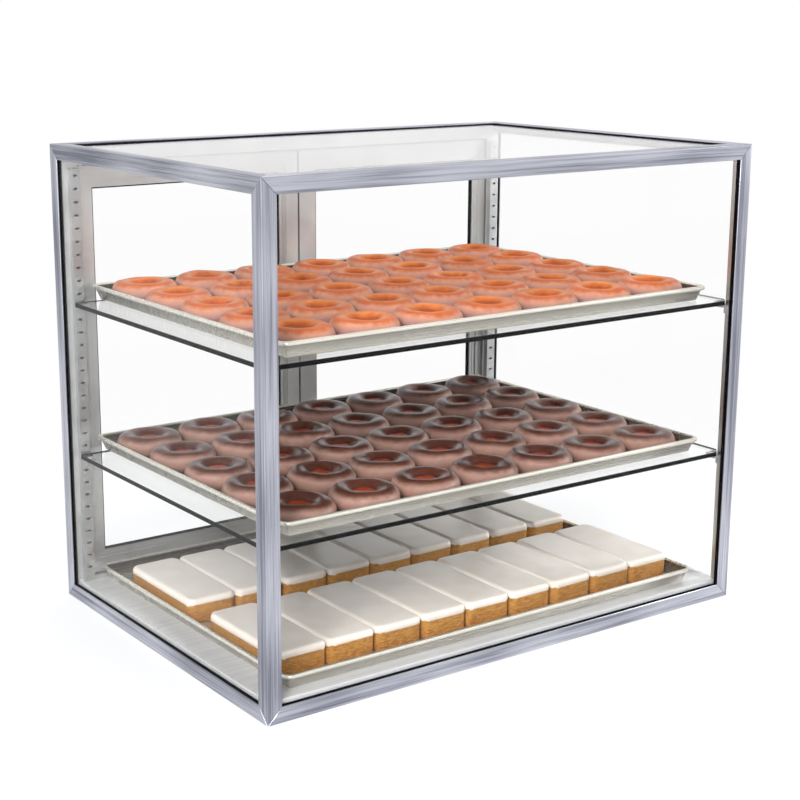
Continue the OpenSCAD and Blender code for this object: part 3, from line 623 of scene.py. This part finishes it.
def icing_over_sponge(name):
    """White fondant poured over golden sponge: icing above the wavy line, and below it
    cut sponge with a crumb about 3 mm across, drawn out sideways, and a browner foot."""
    mat, out = material(name)
    coords = add(mat, "TexCoord").outputs["Object"]
    level = add(mat, "Attribute", attribute_name="level").outputs["Fac"]
    tone = add(mat, "Attribute", attribute_name="tone").outputs["Fac"]
    cover = add(mat, "MapRange", {"Value": level},
                {"From Min": ICING["line"] - 0.02, "From Max": ICING["line"] + 0.03})
    flat = add(mat, "Mapping", {"Vector": coords}, {"Scale": [1, 1, 4]})
    crumb = add(mat, "TexNoise", {"Vector": flat.outputs[0]},
                {"Scale": 160.0, "Detail": 6.0, "Roughness": 0.65})
    low = add(mat, "MapRange", {"Value": level},
              {"From Max": 0.5, "To Min": -0.16, "To Max": 0.04})
    baked = add(mat, "Math", {0: crumb.outputs["Fac"], 1: low.outputs[0]}, operation="ADD")
    sponge = ramp(mat, baked.outputs[0],
                  [(0.25, "#84521e"), (0.45, "#b27834"), (0.62, "#cc964a")])
    cloud = add(mat, "TexNoise", {"Vector": coords}, {"Scale": 30.0, "Detail": 3.0})
    white = ramp(mat, cloud.outputs["Fac"], [(0.3, "#f3e9dd"), (0.7, "#faf3ea")])
    base = add(mat, "Mix", {0: cover.outputs[0], 6: sponge, 7: white}, data_type="RGBA")
    batch = add(mat, "MapRange", {"Value": tone}, {"To Min": 0.95, "To Max": 1.02})
    shade = add(mat, "VectorMath", {0: base.outputs[2], "Scale": batch.outputs[0]},
                operation="SCALE")
    dry = add(mat, "MapRange", {"Value": cover.outputs[0]}, {"To Min": 0.85, "To Max": 0.28})
    deep = add(mat, "MapRange", {"Value": cover.outputs[0]}, {"To Min": 1.0, "To Max": 0.03})
    relief = add(mat, "Math", {0: crumb.outputs["Fac"], 1: deep.outputs[0]},
                 operation="MULTIPLY")
    bump = add(mat, "Bump", {"Height": relief.outputs[0]}, {"Strength": 0.6, "Distance": 0.001})
    shader = add(mat, "BsdfPrincipled", {"Base Color": shade.outputs[0],
                                         "Roughness": dry.outputs[0],
                                         "Normal": bump.outputs[0]})
    mat.node_tree.links.new(shader.outputs[0], out.inputs["Surface"])
    return mat


# bluish steel, streaked along each member; its slow light and dark zones along the length are
# painted reflection
for axis in "xyz":
    steel = brushed("ground_steel_along_" + axis, axis, "#767884", "#c6c7d1", 0.32)
    for member in frame_pieces[axis]:
        paint(member, steel)

# clear panes, and shelves with black edges
float_glass = glass("float_glass", "#fefefe")
shelf_float = glass("tempered_shelf_glass", "#fcfdfd")
shelf_edge = ground_edge("ground_shelf_edge")
# dull black lines round the panes
epdm = satin("epdm_gasket", "#0c0c0d", "#191a1b", 0.62, 0.0, depth=0.2, mirror=0.12)
# warmer grey than the frame, streaked upright
bead_metal = brushed("rolled_bead_steel", "z", "#9b9c9b", "#d0d0cc", 0.36)
# a pale floor that mirrors only softly
deck_metal = brushed("folded_deck_steel", "x", "#e2e2e4", "#f6f6f6", 0.42, 0.06, metallic=0.5)
# even grey doors and jambs without streaks
anodised = satin("anodised_door_section", "#bbbcbc", "#c8c9c8", 0.4, 0.7)
# slotted uprights, a shade darker than the doors
galvanised = satin("galvanised_upright", "#a6a8a9", "#b9baba", 0.36, 0.8)
# small bright hooks, catches and pins
zinc = satin("zinc_plate", "#a9abac", "#c9cbcc", 0.25, 1.0)
# off-white plastic
nylon = satin("moulded_nylon", "#d9d6cc", "#e7e5dc", 0.5, 0.0)
# warm pale pans, with painted shade darkening the creases beside the bead and under the foot
pan_metal = brushed("drawn_pan_aluminium", "x", "#dcd8cc", "#ece8dd", 0.27, 0.03, 500.0,
                    "#3a352e", 0.75)

FINISH = {
    "case_glass": float_glass, "door_glass": float_glass, "black_rubber": epdm,
    "bead_steel": bead_metal, "deck_steel": deck_metal, "rear_aluminium": anodised,
    "door_aluminium": anodised, "pilaster_steel": galvanised, "clip_steel": zinc,
    "white_nylon": nylon, "pivot_steel": zinc,
}
for part in frame["record"]["subparts"]:
    if part["material_slot"] in FINISH:
        paint(NODES[part["node"]], FINISH[part["material_slot"]])
for plate in shelves:
    plate.data.materials[0] = shelf_float
    plate.data.materials[1] = shelf_edge
for pan in pans:
    paint(pan, pan_metal)
# amber crest, pinkish side, brown sole; the dark middle of the dimple is painted shade
paint(glazed, glazed_crust("sugar_glazed_crust", [
    # painted shade: the first two stops darken the dimple's middle
    (0.0, "#7c3314"), (0.17, "#8f3f1b"), (0.27, "#c05c29"), (0.38, "#e48a48"),
    (0.47, "#d87237"), (0.56, "#cc6836"), (0.65, "#cf947a"), (0.78, "#ab8079"),
    (0.95, "#583429")], 0.4, 0.22, 0.025))
# rusty middle, dark glossy crest, pinkish side
paint(chocolate, glazed_crust("chocolate_glaze", [
    (0.0, "#b54a24"), (0.15, "#a04022"), (0.23, "#4e261b"), (0.38, "#643a2d"),
    (0.50, "#4c2a20"), (0.58, "#704638"), (0.68, "#b18b7d"), (0.80, "#9c7769"),
    (0.97, "#4c2e24")], 0.3, 0.38, 0.012))
paint(bars, icing_over_sponge("fondant_on_sponge"))


# Room, floor and lamps

def seen_directly(mat, glossy):
    """1 for rays from the camera or through glass, glossy for a mirror's, 0 for the
    rays that light a matt surface, also where they leave it through a pane."""
    path = add(mat, "LightPath")
    direct = add(mat, "Math", {0: path.outputs["Is Camera Ray"],
                               1: path.outputs["Is Transmission Ray"]}, operation="MAXIMUM")
    shine = add(mat, "Math", {0: path.outputs["Is Glossy Ray"]}, {1: glossy},
                operation="MULTIPLY")
    seen = add(mat, "Math", {0: direct.outputs[0], 1: shine.outputs[0]}, operation="MAXIMUM")
    matt = add(mat, "Math", {0: path.outputs["Diffuse Depth"]}, {1: 0.5},
               operation="LESS_THAN")
    return add(mat, "Math", {0: seen.outputs[0], 1: matt.outputs[0]},
               operation="MULTIPLY").outputs[0]


def studio():
    """A room that lights the object with a pale grey and shows white behind it. The
    shadow rays already bring its light in through the panes, so a ray that leaves a matt
    surface and then a pane meets none of it."""
    world = bpy.data.worlds.new("studio")
    bpy.context.scene.world = world
    world.use_nodes = True
    world.node_tree.nodes.clear()
    out = world.node_tree.nodes.new("ShaderNodeOutputWorld")
    through = add(world, "LightPath").outputs["Is Transmission Ray"]
    strength = add(world, "MapRange", {"Value": through}, {"To Min": 1.0, "To Max": 0.0})
    lit = add(world, "Background", {"Strength": strength.outputs[0]},
              {"Color": srgb("#e8eaee")})
    white = add(world, "Background", values={"Color": (1, 1, 1, 1), "Strength": 1.0})
    mix = add(world, "MixShader", {"Fac": seen_directly(world, 0.9),
                                   1: lit.outputs[0], 2: white.outputs[0]})
    world.node_tree.links.new(mix.outputs[0], out.inputs["Surface"])


def paper_floor():
    """White paper, in metres, that takes the shadow near the case and fades to the white
    of the backdrop further out."""
    reach, near_share, fade_from, fade_to = 40, 0.55, 0.5, 1.15
    corners = [(-reach, -reach, 0), (reach, -reach, 0), (reach, reach, 0), (-reach, reach, 0)]
    mesh = bpy.data.meshes.new("floor")
    mesh.from_pydata(corners, [], [(0, 1, 2, 3)])
    floor = bpy.data.objects.new("floor", mesh)
    bpy.context.scene.collection.objects.link(floor)
    paper, out = material("floor_paper")
    coords = add(paper, "TexCoord").outputs["Object"]
    away = add(paper, "VectorMath", {0: coords}, operation="LENGTH").outputs["Value"]
    fade = add(paper, "MapRange", {"Value": away}, {"From Min": fade_from, "From Max": fade_to},
               interpolation_type="SMOOTHSTEP").outputs[0]
    near = add(paper, "MapRange", {"Value": fade},
               {"To Min": near_share, "To Max": 1.0}).outputs[0]
    share = add(paper, "Math", {0: near, 1: seen_directly(paper, 0.6)}, operation="MULTIPLY")
    matt = add(paper, "BsdfDiffuse", values={"Color": srgb("#f6f6f6")})
    glow = add(paper, "Emission", values={"Color": (1, 1, 1, 1), "Strength": 1.0})
    mix = add(paper, "MixShader", {"Fac": share.outputs[0], 1: matt.outputs[0],
                                   2: glow.outputs[0]})
    paper.node_tree.links.new(mix.outputs[0], out.inputs["Surface"])
    paint(floor, paper)


def softbox(name, place, target, size, power):
    """A white area lamp at place, turned to face target, in metres and watts. Its light
    comes through glass by the shadow rays alone, so that it isn't counted twice."""
    lamp = bpy.data.lights.new(name, "AREA")
    lamp.shape = "RECTANGLE"
    lamp.size, lamp.size_y = size
    lamp.energy = power
    obj = bpy.data.objects.new(name, lamp)
    bpy.context.scene.collection.objects.link(obj)
    obj.location = place
    obj.visible_transmission = False
    aim = np.array(target) - np.array(place)
    obj.rotation_euler = (
        math.atan2(math.hypot(aim[0], aim[1]), -aim[2]), 0,
        math.atan2(aim[1], aim[0]) - math.pi / 2,
    )


studio()
paper_floor()
softbox("key_box", (-1.9, -1.7, 1.45), (0, 0, 0.25), (1.2, 1.0), 62)
# a small box marks the pans' beads
softbox("side_box", (2.1, -0.75, 1.0), (0, 0, 0.3), (0.45, 0.7), 30)
softbox("top_box", (0.2, 0.4, 2.6), (0, 0, 0.3), (1.8, 1.4), 12)

# Camera, placed so that the case's corners lie where the photograph has them

camera = bpy.data.cameras.new("camera")
camera.lens, camera.sensor_width = 73.0, 36.0
camera.shift_x = 0.0625
view = bpy.data.objects.new("camera", camera)
bpy.context.scene.collection.objects.link(view)
view.location = (-1.2867, -1.7438, 0.8059)
view.rotation_euler = (math.radians(90 - 13.57), 0, math.radians(-34.66))
bpy.context.scene.camera = view
bpy.context.scene.view_settings.view_transform = "Standard"
